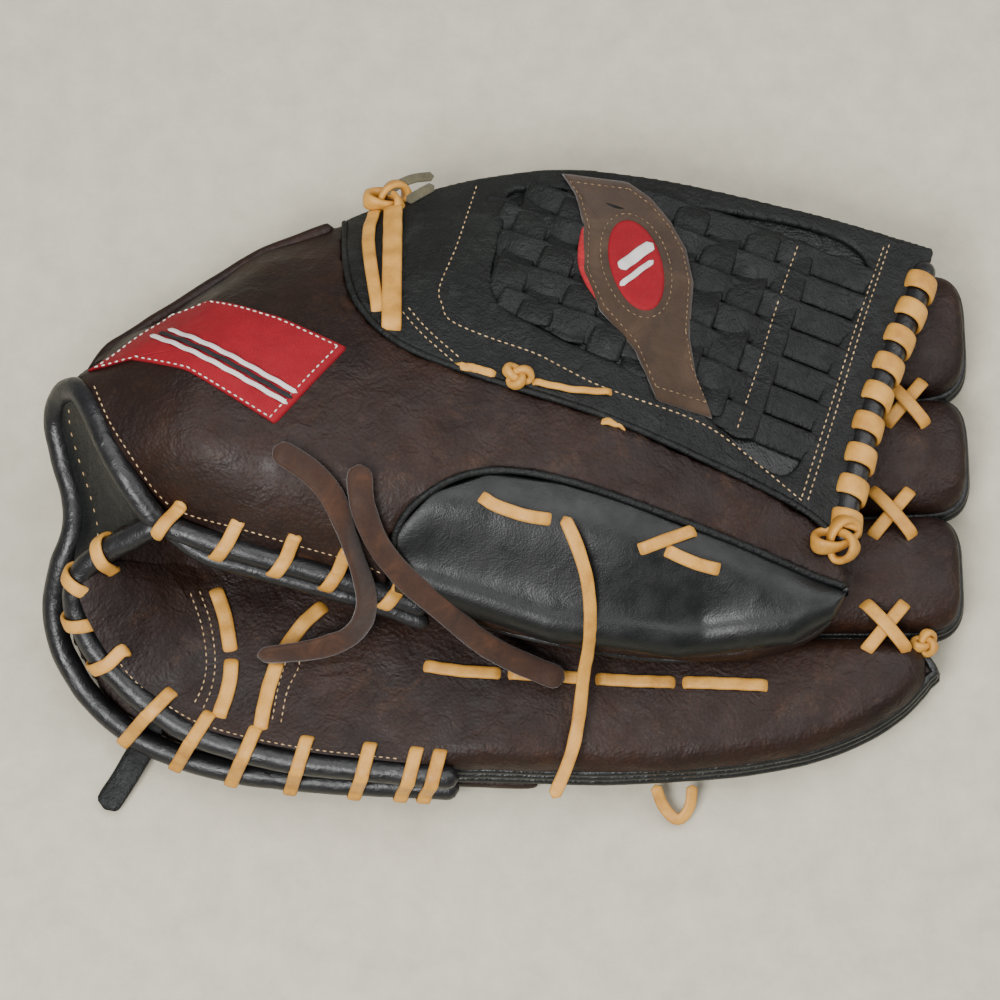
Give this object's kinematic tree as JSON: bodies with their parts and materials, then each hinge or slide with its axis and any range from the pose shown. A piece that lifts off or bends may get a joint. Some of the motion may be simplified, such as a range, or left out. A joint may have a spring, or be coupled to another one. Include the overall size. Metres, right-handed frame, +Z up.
{
  "type": "baseball fielding glove",
  "caption": "Closed left-hand baseball fielding glove in brown and black leather with woven web, laced seams and a folding thumb half.",
  "frame": {"origin": "centre of the glove's plan on the surface it lies on, free laces left out", "axes": "+X from the heel to the fingertips, +Y from the little finger to the fold, +Z up, thumb side on top"},
  "size_m": [0.3246, 0.2252, 0.0957],
  "materials": {
    "brown_leather": "oiled pull-up leather, worn",
    "black_leather": "soft black leather",
    "black_binding": "smooth glossy binding",
    "rawhide_thong": "oiled suede thong",
    "tan_lace": "rawhide lace",
    "felt_pad": "wool felt",
    "lining_leather": "smooth lining",
    "strap_suede": "brushed suede",
    "red_patch": "woven patch",
    "patch_stripes": "embroidered stripes"
  },
  "bodies": {
    "finger_side": {"index_back": "black_leather", "index_front": "brown_leather", "index_welt": "black_binding", "middle_back": "black_leather", "middle_front": "brown_leather", "middle_welt": "black_binding", "pinky_back": "black_leather", "pinky_front": "brown_leather", "pinky_welt": "black_binding", "ring_back": "black_leather", "ring_front": "brown_leather", "ring_welt": "black_binding", "finger_cross_laces": "tan_lace", "hand_back": "brown_leather", "palm_front": "brown_leather", "palm_heel_lace": "tan_lace", "palm_heel_roll": "black_binding", "palm_lining": "lining_leather", "palm_pad": "felt_pad", "palm_seam_laces": "tan_lace", "palm_welt": "black_binding", "pinky_lace": "tan_lace", "pinky_loop": "tan_lace", "pinky_tip_knot": "tan_lace", "wrist_roll": "black_binding", "wrist_tab": "black_leather"},
    "thumb_side": {"badge_felt": "red_patch", "badge_oval": "red_patch", "badge_strap": "strap_suede", "hand_back_fold": "brown_leather", "hand_patch": "red_patch", "hand_patch_stripes": "patch_stripes", "panel_laces": "tan_lace", "thong_long": "rawhide_thong", "thong_short": "rawhide_thong", "thumb_back": "brown_leather", "thumb_front": "brown_leather", "thumb_heel_lace": "tan_lace", "thumb_heel_roll": "black_binding", "thumb_lace_tail": "tan_lace", "thumb_lining": "lining_leather", "thumb_pad": "felt_pad", "thumb_panel": "black_leather", "thumb_piping": "black_binding", "thumb_side_wall": "brown_leather", "thumb_wrist_roll": "black_binding", "web_base": "black_leather", "web_border": "black_leather", "web_corner_knot": "tan_lace", "web_corner_lace": "tan_lace", "web_edge_knot": "tan_lace", "web_edge_lace": "tan_lace", "web_lower_half": "black_leather", "web_outer_wall": "black_leather", "web_tip_knot": "tan_lace", "web_tip_lace": "tan_lace", "web_tip_roll": "black_binding", "web_weave_cross": "black_leather", "web_weave_long": "black_leather"}
  },
  "joints": [
    {"name": "glove_fold", "type": "hinge", "parent": "finger_side", "child": "thumb_side", "pos_m": [0.00303, 0.06003, 0.011], "axis": [-0.9806, -0.1961, 0], "range_deg": [0, 60]}
  ]
}
